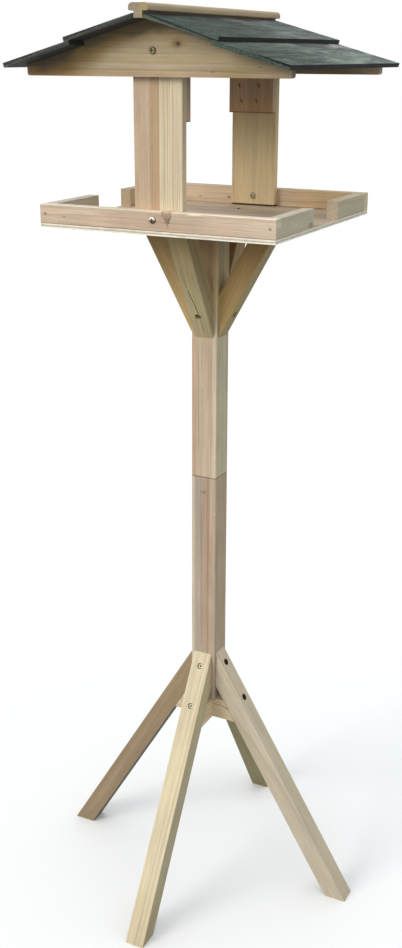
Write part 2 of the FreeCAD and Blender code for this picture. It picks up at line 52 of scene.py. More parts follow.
class Shader:
    """The nodes of a material, or of the world, with short ways to add and link them."""

    def __init__(self, name, world=None):
        self.owner = world or bpy.data.materials.new(name)
        self.owner.use_nodes = True
        self.tree = self.owner.node_tree
        self.tree.nodes.clear()

    def node(self, kind, **settings):
        made = self.tree.nodes.new("ShaderNode" + kind)
        for key, value in settings.items():
            setattr(made, key, value)
        return made

    def put(self, socket, value):
        if isinstance(value, bpy.types.NodeSocket):
            self.tree.links.new(value, socket)
        else:
            socket.default_value = value

    def fill(self, made, *values):
        for socket, value in zip(made.inputs, values):
            self.put(socket, value)
        return made.outputs[0]

    def math(self, operation, *values):
        return self.fill(self.node("Math", operation=operation), *values)

    def add(self, *values):
        total = values[0]
        for value in values[1:]:
            total = self.math("ADD", total, value)
        return total

    def subtract(self, a, b):
        return self.math("SUBTRACT", a, b)

    def times(self, *values):
        product = values[0]
        for value in values[1:]:
            product = self.math("MULTIPLY", product, value)
        return product

    def magnitude(self, value):
        return self.math("ABSOLUTE", value)

    def vector(self, operation, *values):
        return self.fill(self.node("VectorMath", operation=operation), *values)

    def dot(self, a, b):
        return self.vector("DOT_PRODUCT", a, b).node.outputs["Value"]

    def length(self, x, y, z):
        return self.vector("LENGTH", self.join(x, y, z)).node.outputs["Value"]

    def off_axis(self, point, direction):
        """Distance from a straight line through a place given in metres."""
        away = self.vector("SUBTRACT", self.place(), point)
        return self.length(*self.split(self.vector("CROSS_PRODUCT", away, direction)))

    def split(self, vector):
        return tuple(self.fill(self.node("SeparateXYZ"), vector).node.outputs)

    def join(self, x, y, z):
        return self.fill(self.node("CombineXYZ"), x, y, z)

    def place(self):
        """Place on the object, in metres."""
        return self.node("TexCoord").outputs["Object"]

    def coordinates(self):
        return self.split(self.place())

    def height(self):
        """Height above the ground, in metres."""
        return self.coordinates()[2]

    def normal(self):
        return self.node("NewGeometry").outputs["Normal"]

    def facing(self, direction, low=0.5, high=0.8):
        """1 where the surface faces a direction; low and high are cosines of the angle to it."""
        return self.smooth(self.dot(self.normal(), direction), low, high)

    def square_to(self, axis, low, high):
        """1 where the surface faces either way along an axis."""
        return self.smooth(self.magnitude(self.dot(self.normal(), axis)), low, high)

    def smooth(self, value, low, high):
        """0 below low and 1 above high, with a soft step between."""
        return self.fill(self.node("MapRange", interpolation_type="SMOOTHSTEP"), value, low, high)

    def fade(self, value, low, high):
        """1 below low and 0 above high."""
        return self.subtract(1.0, self.smooth(value, low, high))

    def between(self, value, low, high, softness):
        """1 from low to high and 0 outside, with soft ends."""
        up = self.smooth(value, low - softness, low + softness)
        return self.times(up, self.fade(value, high - softness, high + softness))

    def ramp(self, value, stops):
        """Grey ramp through (position, level) stops."""
        made = self.node("ValToRGB")
        self.put(made.inputs[0], value)
        elements = made.color_ramp.elements
        while len(elements) < len(stops):
            elements.new(0.5)
        for element, (position, level) in zip(elements, stops):
            element.position = position
            element.color = (level, level, level, 1.0)
        return made.outputs[0]

    def noise(self, vector, stretch, seed, detail=2.0):
        """Noise from -0.5 to 0.5, and its colour. stretch is in features per metre along the three axes."""
        scaled = self.vector("MULTIPLY_ADD", vector, stretch, tuple(seed * step for step in SEED_STEP))
        made = self.node("TexNoise")
        self.put(made.inputs["Vector"], scaled)
        made.inputs["Scale"].default_value = 1.0
        made.inputs["Detail"].default_value = detail
        return self.subtract(made.outputs[0], 0.5), made.outputs[1]

    def mix(self, factor, a, b, blend="MIX"):
        made = self.node("Mix", data_type="RGBA", blend_type=blend)
        self.put(made.inputs[0], factor)
        self.put(made.inputs[6], a)
        self.put(made.inputs[7], b)
        return made.outputs[2]

    def tint(self, factor, colour, by):
        """The colour multiplied by another one, as far as factor says."""
        return self.mix(factor, colour, (*by, 1.0), "MULTIPLY")

    def paint(self, factor, colour, over):
        """The colour under a screen colour, as far as factor says."""
        return self.mix(factor, colour, tone(*over))

    def scale(self, colour, factor):
        made = self.node("VectorMath", operation="SCALE")
        self.put(made.inputs[0], colour)
        self.put(made.inputs["Scale"], factor)
        return made.outputs[0]

    def vary(self, colour, value, share):
        """The colour, brighter by a share of value."""
        return self.scale(colour, self.add(self.times(value, share), 1.0))

    def bump(self, height, strength, distance):
        made = self.node("Bump")
        made.inputs["Strength"].default_value = strength
        made.inputs["Distance"].default_value = distance
        self.put(made.inputs["Height"], height)
        return made.outputs[0]

    def finish(self, colour, roughness, normal, **sockets):
        """Surface shader. Sockets hold values that are the same all over the surface."""
        made = self.node("BsdfPrincipled")
        self.put(made.inputs["Base Color"], colour)
        self.put(made.inputs["Roughness"], roughness)
        self.put(made.inputs["Normal"], normal)
        for name, value in sockets.items():
            made.inputs[name.replace("_", " ")].default_value = value
        self.put(self.node("OutputMaterial").inputs[0], made.outputs[0])
        return self.owner


class Grain:
    """Coordinates inside one piece of timber: u along the grain, v across its main face, w into it."""

    def __init__(self, shader, centre, grain, inward):
        self.shader = shader
        self.centre = centre
        self.u_axis = grain.normalized()
        self.v_axis = inward.cross(self.u_axis).normalized()
        self.w_axis = self.u_axis.cross(self.v_axis)
        self.turn = Matrix((self.u_axis, self.v_axis, self.w_axis))
        mapping = shader.node("Mapping")
        shader.put(mapping.inputs["Vector"], shader.place())
        mapping.inputs["Location"].default_value = -(self.turn @ centre)
        mapping.inputs["Rotation"].default_value = self.turn.to_euler()
        self.vector = mapping.outputs[0]
        self.u, self.v, self.w = shader.split(self.vector)

    def noise(self, along, across, seed, detail=2.0):
        """Noise with so many features per metre along the grain and across it."""
        return self.shader.noise(self.vector, (along, across, across), seed, detail)[0]

    def local(self, point):
        """Grain coordinates of a place on the object that is given in millimetres."""
        return self.turn @ (Vector(point) * MM - self.centre)

    def spot(self, point, along, across, depth=50.0):
        """Distance from a spot's middle, counted in the spot's own half sizes, which are in millimetres."""
        shader = self.shader
        sizes = (along, across, depth)
        offsets = [shader.times(shader.subtract(value, middle), 1 / (size * MM))
                   for value, middle, size in zip((self.u, self.v, self.w), self.local(point), sizes)]
        return shader.length(*offsets)

    def line(self, start, stop, width, wobble, on_side=False):
        """1 on a thin line between two places on the main face, or on a side face, and 0 off it."""
        shader = self.shader
        a = self.local(start)
        b = self.local(stop)
        share = shader.times(shader.subtract(self.u, a.x), 1 / (b.x - a.x))
        inside = shader.between(share, 0.06, 0.94, 0.06)
        across = self.w if on_side else self.v
        first, last = (a.z, b.z) if on_side else (a.y, b.y)
        middle = shader.add(shader.times(share, last - first), first)
        off = shader.magnitude(shader.add(shader.subtract(across, middle), wobble))
        return shader.times(shader.fade(off, width * MM * 0.3, width * MM), inside)

    def band(self, one, other, softness, wobble):
        """1 between two places across the grain of an upright or level piece, and 0 outside them."""
        across = Vector([abs(part) for part in self.v_axis])
        low, high = sorted((self.local(one * across).y, self.local(other * across).y))
        return self.shader.between(self.shader.add(self.v, wobble), low, high, softness * MM)


def timber(name, seed, grain, inward, early, late, ring=3.2, contrast=0.6, pith=(60.0, 35.0), lean=0.0,
           wander=2.5, figure=1.0, knots=(), lines=(), side_lines=(), bands=(), marks=(), face_light_and_tint=(),
           sink_light_and_shade=(), touch_up=None, end_shade=0.8):
    """Dresses one piece as planed softwood. Colours are screen values; ring, pith and wander are millimetres.

    knots are (place, size, darkness), lines (start, stop, width, colour, strength) on the main face or on a
    side, bands (one side, other side, early colour, late colour, softness), marks (place, along, across,
    depth, colour, strength), face_light_and_tint (direction, tint), which paints light and shade on whole
    faces by the way they face and gives a few a tint of their own, and sink_light_and_shade (place in metres,
    direction, colour), which paints the walls of screw holes with painted light or painted shade.
    touch_up changes the colour after the marks, from the shader, the colour and a ragged edge.
    """
    low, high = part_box(name)
    shader = Shader("wood_" + name)
    g = Grain(shader, (low + high) / 2, grain, inward)

    # The growth rings are cylinders round the pith, warped a little along the grain and pushed out by knots.
    _, drift = shader.noise(g.vector, (2.5, 22.0, 22.0), seed)
    drift_v, drift_w, drift_tone = (shader.subtract(part, 0.5) for part in shader.split(drift))
    warp = 2 * wander * MM
    across = shader.add(g.v, shader.times(drift_v, warp), shader.times(g.u, -lean), -pith[0] * MM)
    depth = shader.add(g.w, shader.times(drift_w, warp), -pith[1] * MM)
    radius = shader.length(0.0, across, depth)
    pace, _ = shader.noise(shader.join(radius, 0.0, 0.0), (90.0, 1.0, 1.0), seed + 3, 1.0)
    shift = 2.2  # In rings.
    phase = shader.add(shader.times(radius, 1 / (ring * MM)), shader.times(pace, shift))
    spots = []
    for point, size, darkness in knots:
        distance = g.spot(point, size * 1.35, size)
        push = shader.math("EXPONENT", shader.times(distance, distance, -0.22))
        phase = shader.add(phase, shader.times(push, shift))
        spots.append((distance, darkness))
    latewood = shader.ramp(shader.math("FRACT", phase),
                           ((0.0, 0.0), (0.35, 0.08), (0.72, 0.5), (0.9, 1.0), (1.0, 0.0)))
    dice = shader.node("TexWhiteNoise", noise_dimensions="1D")
    shader.put(dice.inputs["W"], shader.add(shader.math("FLOOR", phase), seed * 1.7))
    strength = shader.add(shader.times(dice.outputs[0], 0.75), 0.3)
    rings = shader.times(latewood, strength, contrast)

    # Bands of heartwood or sapwood change both ring colours.
    wobble = shader.times(drift_tone, 3.0 * MM)
    early = tone(*early)
    late = tone(*late)
    for one, other, band_early, band_late, softness in bands:
        mask = g.band(one, other, softness, wobble)
        early = shader.paint(mask, early, band_early)
        late = shader.paint(mask, late, band_late)
    colour = shader.mix(rings, early, late)

    # Fibres, veins, longer streaks and broad patches vary its brightness, and streaks its warmth.
    fibres = g.noise(32.0, 900.0, seed + 11, 3.0)
    veins = g.noise(11.0, 330.0, seed + 17)
    streaks, warmth = shader.noise(g.vector, (5.0, 110.0, 110.0), seed + 23)
    patches = g.noise(18.0, 45.0, seed + 37)
    level = shader.add(1.0, shader.times(fibres, 0.36 * figure), shader.times(veins, 0.34 * figure),
                       shader.times(streaks, 0.34 * figure), shader.times(patches, 0.36 * figure))
    colour = shader.scale(colour, level)
    warm = shader.smooth(shader.split(warmth)[2], 0.4, 0.62)
    colour = shader.tint(shader.times(warm, 0.5), colour, (1.0, 0.955, 0.9))
    pores = shader.smooth(g.noise(55.0, 1500.0, seed + 41, 1.0), 0.16, 0.24)
    colour = shader.tint(shader.times(pores, 0.5), colour, (0.7, 0.62, 0.52))
    height = shader.add(shader.times(fibres, 0.6), shader.times(rings, -0.5), shader.times(pores, -0.4))

    ragged = shader.add(shader.times(fibres, 1.2), shader.times(veins, 1.6), shader.times(patches, 1.5))
    for distance, darkness in spots:
        halo = shader.times(shader.fade(distance, 0.8, 3.2), darkness * 0.5)
        core = shader.times(shader.fade(shader.add(distance, ragged), 0.5, 1.1), darkness)
        colour = shader.paint(core, shader.paint(halo, colour, KNOT_HALO), KNOT_CORE)
        height = shader.subtract(height, core)
    on_main = shader.square_to(g.w_axis, 0.6, 0.8)
    on_edge = shader.square_to(g.v_axis, 0.6, 0.8)
    drawn = [(False, *line) for line in lines] + [(True, *line) for line in side_lines]
    for on_side, start, stop, width, line_colour, strength in drawn:
        line = g.line(start, stop, width, shader.times(wobble, 0.3), on_side)
        line = shader.times(line, on_edge if on_side else on_main, strength)
        colour = shader.paint(line, colour, line_colour)
        height = shader.subtract(height, shader.times(line, 1.5))
    for point, along, across, depth, mark_colour, strength in marks:
        distance = shader.add(g.spot(point, along, across, depth), ragged)
        mask = shader.times(shader.fade(distance, 0.35, 1.1), strength)
        colour = shader.paint(mask, colour, mark_colour)
    if touch_up is not None:
        colour = touch_up(shader, colour, ragged)
    # Walls of screw holes get painted light or painted shade, as each entry gives.
    for point, direction, wall_light_and_shade in sink_light_and_shade:
        mask = shader.fade(shader.off_axis(point, direction), SINK_RADIUS, SINK_RADIUS + 0.2 * MM)
        colour = shader.paint(mask, colour, wall_light_and_shade)

    # Whole faces get painted light and shade, and a few a tint of their own, by the way they face; sanded
    # arrises are paler than the faces, partly as a painted highlight, and end grain drinks more light than
    # they do.
    for direction, shade in face_light_and_tint:
        colour = shader.tint(shader.facing(direction), colour, shade)
    normal = shader.normal()
    turned = shader.magnitude(shader.times(shader.dot(normal, g.v_axis), shader.dot(normal, g.w_axis)))
    colour = shader.vary(colour, shader.smooth(turned, 0.08, 0.4), 0.13)
    colour = shader.vary(colour, shader.square_to(g.u_axis, 0.45, 0.7), end_shade - 1.0)

    rough = shader.add(shader.times(fibres, 0.25), 0.62)
    dress(name, shader.finish(colour, rough, shader.bump(height, 0.4, 0.4 * MM), Specular_IOR_Level=0.3))


def dress(name, material):
    """Gives a CAD piece its material."""
    slots = nodes[name].data.materials
    slots.clear()
    slots.append(material)


def leaning(node, sign):
    """Grain direction and inward direction of a leg (sign -1) or brace (sign 1) on the right side."""
    low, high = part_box(node)
    run = high.x - low.x
    rise = high.z - low.z
    grain = Vector((run, 0, sign * rise)).normalized()
    inward = Vector((-rise, 0, sign * run)).normalized()
    return grain, inward


def turned_to(vector, side):
    """A direction on the right side, turned about the pole to another side."""
    out = SIDES[side]
    return out * vector.x + Z.cross(out) * vector.y + Z * vector.z


def shaded_head(low, high, by):
    """Touch-up that paints shade on a piece between two heights in millimetres, fully above the upper one."""
    def touch_up(shader, colour, ragged):
        height = shader.add(shader.height(), shader.times(ragged, 12 * MM))
        return shader.tint(shader.smooth(height, low * MM, high * MM), colour, by)
    return touch_up


def specks(y, depth, colour, *rows):
    """Marks of one colour on a front or rear face; rows hold x, z, half length, half width and strength."""
    return [((x, y, z), along, across, depth, colour, strength) for x, z, along, across, strength in rows]


def head_middle(name, side, inward):
    """Middle of the head of one side's screw, out of a piece that holds the screws of all four sides."""
    piece = nodes[name]
    points = [piece.matrix_world @ vertex.co for vertex in piece.data.vertices]
    points = [point for point in points if point.dot(SIDES[side]) > 0.8 * point.xy.length]
    outermost = min(point.dot(inward) for point in points)
    face = [point for point in points if point.dot(inward) < outermost + 0.1 * MM]
    return sum(face, Vector()) / len(face)


def dress_legs():
    grain, inward = leaning("leg_right", -1)
    pale = (226, 214, 186)
    wave = [((45, -13, 283), (65, -13, 251.4), 0.7, pale, 0.35),
            ((65, -13, 251.4), (84.7, -13, 229.3), 0.7, pale, 0.7),
            ((84.7, -13, 229.3), (97.9, -13, 207.3), 0.7, pale, 0.6)]
    # Face tints paint shade on the front leg's right side and the left leg's inner face, and light on the
    # rear leg's rear and left faces.
    looks = {
        "front": dict(early=(212, 200, 169), late=(178, 158, 119), ring=4.4, contrast=0.55, figure=0.8,
                      pith=(34, 60), lean=0.014, wander=1.6, face_light_and_tint=[(X, (0.77, 0.77, 0.73))]),
        "right": dict(early=(201, 189, 169), late=(176, 158, 135), ring=3, contrast=0.5, figure=0.8,
                      pith=(70, 22), lean=-0.02, wander=1.8, side_lines=wave,
                      face_light_and_tint=[(-inward, (0.98, 0.97, 0.9))]),
        "left": dict(early=(158, 138, 111), late=(128, 107, 81), ring=2.4, contrast=0.5,
                     pith=(28, 70), lean=0.02, face_light_and_tint=[(turned_to(inward, "left"), (0.28, 0.36, 0.33))]),
        "rear": dict(early=(164, 157, 118), late=(128, 118, 80), ring=2.8, contrast=0.55,
                     pith=(-60, 26), face_light_and_tint=[(Y, (1.16, 1.05, 1.08)), (-X, (1.12, 1.03, 1.06))],
                     marks=[((12, 137.8, 66), 2.2, 1.6, 20, (48, 42, 28), 0.9)]),
    }

    def lit_head_shaded_foot(shader, colour, ragged):
        """Painted light at the head of the right side, which lies between the legs, and painted shade at the
        foot.
        """
        height = shader.height()
        mask = shader.times(shader.facing(X), shader.smooth(height, 0.2, 0.27))
        foot = shader.fade(shader.add(height, shader.times(ragged, 10 * MM)), 0.04, 0.09)
        return shader.tint(foot, shader.tint(mask, colour, (1.13, 1.1, 1.08)), (0.89, 0.87, 0.84))

    looks["front"]["touch_up"] = lit_head_shaded_foot
    for seed, side in enumerate(SIDES, 1):
        node = "leg_" + side
        into = turned_to(inward, side)
        # Painted light on the walls of the front leg's screw holes, painted shade in the other legs' holes.
        hole_light_and_shade = (248, 238, 208) if side == "front" else (84, 70, 56)
        sink_light_and_shade = [(head_middle(name, side, into), into, hole_light_and_shade) for name in LEG_SCREWS]
        timber(node, seed, turned_to(grain, side), into, sink_light_and_shade=sink_light_and_shade, **looks[side])


def dress_braces():
    grain, inward = leaning("brace_right", 1)
    cracks = [((-4.3, -54.5, 851), (1.9, -34.3, 814.6), 0.9, CRACK, 0.95),
              ((-8.4, -70, 879), (-4.3, -54.5, 851), 0.6, CRACK, 0.45),
              ((1.9, -34.3, 814.6), (2.9, -21, 790.7), 0.5, CRACK, 0.75)]
    # Face tints paint shade on one face each of the front and right braces.
    looks = {
        "front": dict(early=(192, 178, 138), late=(155, 139, 99), ring=3.4, contrast=0.5,
                      pith=(-46, 30), lines=cracks, face_light_and_tint=[(X, (0.8, 0.77, 0.74))]),
        "right": dict(early=(184, 154, 103), late=(156, 126, 78), ring=3.6, contrast=0.5, figure=0.8,
                      pith=(20, 48), lean=0.03, face_light_and_tint=[(-inward, (0.86, 1, 1.06))]),
        "left": dict(early=(183, 157, 109), late=(149, 123, 80), ring=3, contrast=0.5, pith=(60, 12)),
        "rear": dict(early=(176, 152, 114), late=(144, 118, 82), ring=3, contrast=0.5, pith=(-40, 50)),
    }
    for seed, side in enumerate(SIDES, 5):
        node = "brace_" + side
        # Painted shade at the heads of the braces, under the tray.
        head_shade = shaded_head(830, 925, (0.97, 0.9, 0.8) if side == "left" else (0.86, 0.78, 0.68))
        timber(node, seed, turned_to(grain, side), turned_to(inward, side), touch_up=head_shade, **looks[side])


def dress_pole():
    pink = ((200, 171, 146), (176, 144, 118))
    blond = ((214, 196, 170), (186, 164, 134))
    chip = (226, 212, 180)
    chips = specks(-17.5, 3, chip, (-14.4, 739.4, 2.2, 1, 0.8), (-10.1, 734.7, 1.5, 0.8, 0.7),
                   (-1.6, 722.6, 2.4, 0.6, 0.6), (16.1, 704.1, 9, 0.8, 0.7), (16.7, 655, 16, 0.8, 0.6),
                   (16.5, 628, 5, 0.8, 0.7))
    seam_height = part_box("pole_lower")[1].z

    def seam(shader, colour, ragged):
        """Shade in the joint between the two lengths."""
        off = shader.magnitude(shader.subtract(shader.height(), seam_height))
        return shader.tint(shader.fade(off, 0.2 * MM, 1.1 * MM), colour, (0.42, 0.36, 0.3))

    def between_braces(shader, colour, ragged):
        """Yellow wood between the braces, painted shade just under the tray, and the same joint."""
        height = shader.add(shader.height(), shader.times(ragged, 10 * MM))
        colour = shader.tint(shader.smooth(height, 0.79, 0.84), colour, (1.18, 1.08, 0.86))
        # Painted shade just under the tray.
        colour = shader.tint(shader.smooth(height, 0.865, 0.915), colour, (0.6, 0.54, 0.52))
        return seam(shader, colour, ragged)

    # Face tints paint shade on the right faces of both lengths.
    timber("pole_upper", 12, Z, Y, (197, 178, 152), (165, 141, 112), ring=3.4, contrast=0.45, pith=(-70, 26),
           wander=1.8, marks=chips, face_light_and_tint=[(X, (0.84, 0.92, 0.87)), (-X, (0.97, 1.07, 1.1))],
           bands=[(-30, -13, *pink, 1.2), (12, 30, *blond, 1)], touch_up=between_braces,
           lines=[((-8.6, -17, 775), (-7.4, -17, 628), 0.7, (140, 118, 90), 0.6)])
    pale = ((212, 199, 177), (182, 167, 141))
    grey = ((186, 170, 149), (156, 140, 117))
    red = ((176, 152, 125), (154, 127, 102))
    tan = ((200, 178, 153), (174, 151, 122))
    timber("pole_lower", 13, Z, Y, (189, 165, 141), (159, 133, 107), ring=3.8, contrast=0.45, pith=(64, 20),
           wander=1.6, face_light_and_tint=[(-Y, (0.92, 0.93, 0.97)), (X, (0.79, 0.8, 0.77))], touch_up=seam,
           bands=[(-30, -3.4, *grey, 0.6), (-30, -12.5, *pale, 1.5), (4.5, 8, *red, 0.8),
                  (9.5, 30, *tan, 0.8)],
           lines=[((-3, -17, 575), (-2.6, -17, 345), 0.8, (128, 110, 88), 0.55),
                  ((6.6, -17, 560), (7.2, -17, 330), 0.6, (158, 124, 102), 0.4)],
           marks=specks(-17.5, 3, chip, (16.8, 549, 3, 1.4, 0.8)))
    timber("pole_dowel", 14, Z, Y, (206, 176, 138), (184, 150, 112), ring=1.8, contrast=0.4)
    ring_mark = (112, 88, 62)
    timber("spreader_left_right", 10, X, Y, (222, 203, 170), (164, 137, 104), ring=4.5, contrast=0.5,
           pith=(22, -8), lean=0.25,
           lines=[((13, -13, 262.2), (28, -13, 262.2), 1.2, ring_mark, 0.6),
                  ((27, -13, 262.2), (39, -13, 257.4), 1.3, ring_mark, 0.75),
                  ((38.5, -13, 257.6), (45, -13, 246.5), 1.2, ring_mark, 0.7)])
    timber("spreader_front_rear", 11, Y, -X, (228, 208, 172), (182, 156, 118), ring=4, contrast=0.6,
           pith=(26, 20), lean=0.2)


def dress_tray():
    dash = (96, 74, 58)
    pale = ((207, 190, 165), (180, 158, 132))
    rail_low, rail_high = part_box("rail_front")
    knot_x = 17.1 * MM
    knot_half = 6.4 * MM
    knot_depth = 13.5 * MM
    sapwood_low, sapwood_high = 945.8 * MM, 950.6 * MM

    def spike_knot(shader, colour, ragged):
        """V-shaped knot with a tail right of the screw, bands of sapwood, and painted shade along the joint
        with the floor.
        """
        x, _, z = shader.coordinates()
        drop = shader.add(shader.subtract(rail_high.z, z), shader.times(ragged, 2.0 * MM))
        share = shader.times(drop, 1 / knot_depth)
        off = shader.subtract(x, shader.add(shader.times(share, 1.2 * MM), knot_x))
        half = shader.subtract(knot_half, shader.times(share, share, 6.0 * MM))
        past = shader.add(shader.subtract(shader.magnitude(off), half), shader.times(ragged, 2.0 * MM))
        body = shader.times(shader.fade(past, -1.4 * MM, 1.0 * MM), shader.fade(share, 0.85, 1.15))
        arm = shader.times(shader.smooth(past, -3.2 * MM, -0.8 * MM), body)
        right = shader.times(shader.smooth(off, 0.0, 1.5 * MM), shader.smooth(share, 0.1, 0.5))
        core = shader.times(shader.fade(shader.magnitude(off), 0.5 * MM, 3.6 * MM),
                            shader.between(share, 0.4, 0.8, 0.2))
        tail = shader.times(shader.fade(shader.magnitude(off), 0.5 * MM, 2.0 * MM),
                            shader.between(drop, 0.01, 0.0175, 0.003))
        away = shader.magnitude(x)
        sapwood = shader.times(shader.between(z, sapwood_low, sapwood_high, 1.2 * MM),
                               shader.smooth(away, 0.05, 0.1))
        colour = shader.tint(sapwood, colour, (1.2, 1.24, 1.27))
        fresh = shader.times(shader.smooth(x, 0.095, 0.135), shader.fade(z, 0.9445, 0.947), shader.facing(-Y))
        colour = shader.tint(fresh, colour, (1.14, 1.2, 1.24))
        colour = shader.tint(shader.fade(away, 0.04, 0.07), colour, (0.92, 0.91, 0.9))
        colour = shader.paint(shader.times(body, 0.6), colour, (158, 130, 104))
        colour = shader.paint(shader.times(core, body, 0.6), colour, (122, 94, 68))
        colour = shader.paint(shader.times(tail, 0.5), colour, (136, 106, 82))
        strength = shader.add(0.2, shader.times(right, 0.6))
        colour = shader.paint(shader.times(arm, strength), colour, (88, 66, 46))
        # Painted shade along the joint with the floor.
        joint_shade = shader.fade(z, rail_low.z + 0.4 * MM, rail_low.z + 1.2 * MM)
        return shader.tint(joint_shade, colour, (0.74, 0.64, 0.54))

    # Its face tints paint light on the top face.
    timber("rail_front", 15, X, Y, (206, 183, 160), (178, 153, 130), ring=4.2, contrast=0.45, pith=(-46, 26),
           lean=0.03, wander=2.6, end_shade=1, face_light_and_tint=[(X, (0.85, 0.99, 0.97)), (Z, (1.55, 1.63, 1.8))],
           bands=[(952.5, 956, *pale, 1)], touch_up=spike_knot,
           marks=[*specks(-148, 4, KNOT_CORE, (12.2, 954.4, 1.9, 1.4, 0.6), (22.2, 954.2, 1.5, 1.3, 0.45)),
                  ((50.7, -148, 953.6), 11, 1.1, 2, (246, 234, 206), 0.8),
                  ((11, -148, 947.5), 8, 7, 6, (180, 154, 134), 0.4),
                  *specks(-148, 2, dash, (-117.3, 941.7, 1.8, 0.7, 0.6), (-40.2, 944.6, 1.8, 0.7, 0.6),
                          (55, 951.6, 9, 0.6, 0.25), (92, 947, 14, 0.6, 0.22), (-70, 950, 12, 0.6, 0.18),
                          (74, 939.6, 20, 0.5, 0.2))])

    def right_part(shader, colour, ragged):
        """Warmer wood on the right."""
        x = shader.coordinates()[0]
        return shader.tint(shader.smooth(x, 0.03, 0.07), colour, (1.1, 1.03, 0.88))

    timber("rail_rear", 16, X, Y, (211, 191, 164), (178, 151, 118), ring=4, contrast=0.5,
           touch_up=right_part, pith=(40, 30), lean=-0.02, end_shade=1, face_light_and_tint=[(X, (0.8, 0.95, 0.97))],
           marks=specks(134, 2, dash, (-81.8, 940, 3, 0.8, 0.7), (-39.4, 940.5, 3.6, 0.9, 0.8)))
    side = dict(early=(192, 182, 158), late=(160, 146, 116), ring=3.4, contrast=0.5)
    chipped = [((150, -48, 937), 8, 4.2, 3, (150, 120, 94), 0.8)]
    # Face tints paint light on the tops, and light and shade on the sides of the side rails.
    looks = {"rail_left_front": dict(pith=(50, 22), face_light_and_tint=[(X, (1.18, 1.17, 1.22)), (Z, (1.25, 1.28, 1.5))]),
             "rail_left_rear": dict(pith=(-44, 30), face_light_and_tint=[(X, (1.3, 1.15, 1.02)), (-Y, (0.92, 0.8, 0.72))]),
             "rail_right_front": dict(pith=(60, -18), marks=chipped,
                                      face_light_and_tint=[(X, (0.96, 0.97, 0.99)), (Z, (1.36, 1.4, 1.52))]),
             "rail_right_rear": dict(pith=(-52, 26),
                                     face_light_and_tint=[(-Y, (1.06, 0.98, 0.97)), (X, (0.88, 0.87, 0.83)),
                                            (Z, (1.26, 1.2, 1.18))])}
    for seed, (node, look) in enumerate(looks.items(), 17):
        timber(node, seed, Y, -X, end_shade=0.95, figure=0.8, **side, **look)


def dress_posts():
    stripe = ((186, 158, 126), (160, 130, 98))
    cream = ((220, 205, 176), (166, 142, 104))
    dots = [*specks(-134, 2, (150, 98, 74), (-7.6, 1049, 1.4, 0.8, 0.8)),
            *specks(-134, 2, (160, 112, 86), (-7.8, 1062, 2.6, 0.5, 0.6), (-8, 1022, 2, 0.5, 0.5))]
    timber("post_front", 21, Z, Y, (197, 174, 148), (172, 144, 116), ring=3, contrast=0.6, pith=(-80, 20),
           wander=1.2, figure=0.8, marks=dots, bands=[(-9.4, 1.6, *stripe, 0.5), (1.6, 40, *cream, 0.4)],
           lines=[((-9.6, -134, 1096), (-9.6, -134, 950), 0.5, (146, 114, 88), 0.55),
                  ((8, -134, 1096), (8.4, -134, 950), 0.8, (150, 128, 92), 0.45),
                  ((11.8, -134, 1096), (12.2, -134, 950), 0.7, (150, 128, 92), 0.4),
                  ((18.6, -134, 1096), (18.3, -134, 950), 0.6, (158, 138, 104), 0.35)])
    # Painted shade at the head of the rear post, under the roof.
    head_shade = shaded_head(990, 1090, (0.86, 0.82, 0.76))
    foot = 934.4 * MM
    block_edge = 1050.2 * MM

    def rear_ends(shader, colour, ragged):
        """Painted shade on the head, under the roof, and painted shade under the foot, which stands just off
        the tray.
        """
        colour = head_shade(shader, colour, ragged)
        return shader.paint(shader.fade(shader.height(), foot, foot + 1 * MM), colour, (44, 30, 24))

    timber("post_rear", 22, Z, Y, (217, 195, 153), (184, 158, 118), ring=3.2, contrast=0.42,
           pith=(70, 26), wander=1.4, figure=0.7, touch_up=rear_ends)

    def block_foot(shader, colour, ragged):
        """Yellower lower part, and shade along the lower edge."""
        height = shader.height()
        colour = shader.tint(shader.fade(height, 1.058, 1.072), colour, (1.16, 1.06, 0.9))
        return shader.tint(shader.fade(height, block_edge, block_edge + 1.2 * MM), colour, (0.4, 0.34, 0.3))

    block = dict(early=(184, 154, 122), late=(152, 121, 90), ring=3.6, contrast=0.4, touch_up=block_foot,
                 face_light_and_tint=[(X, (1, 1.12, 1.25))])
    timber("post_block_front", 23, Z, Y, pith=(60, 30), **block)
    timber("post_block_rear", 24, Z, Y, pith=(-50, 34), **block)


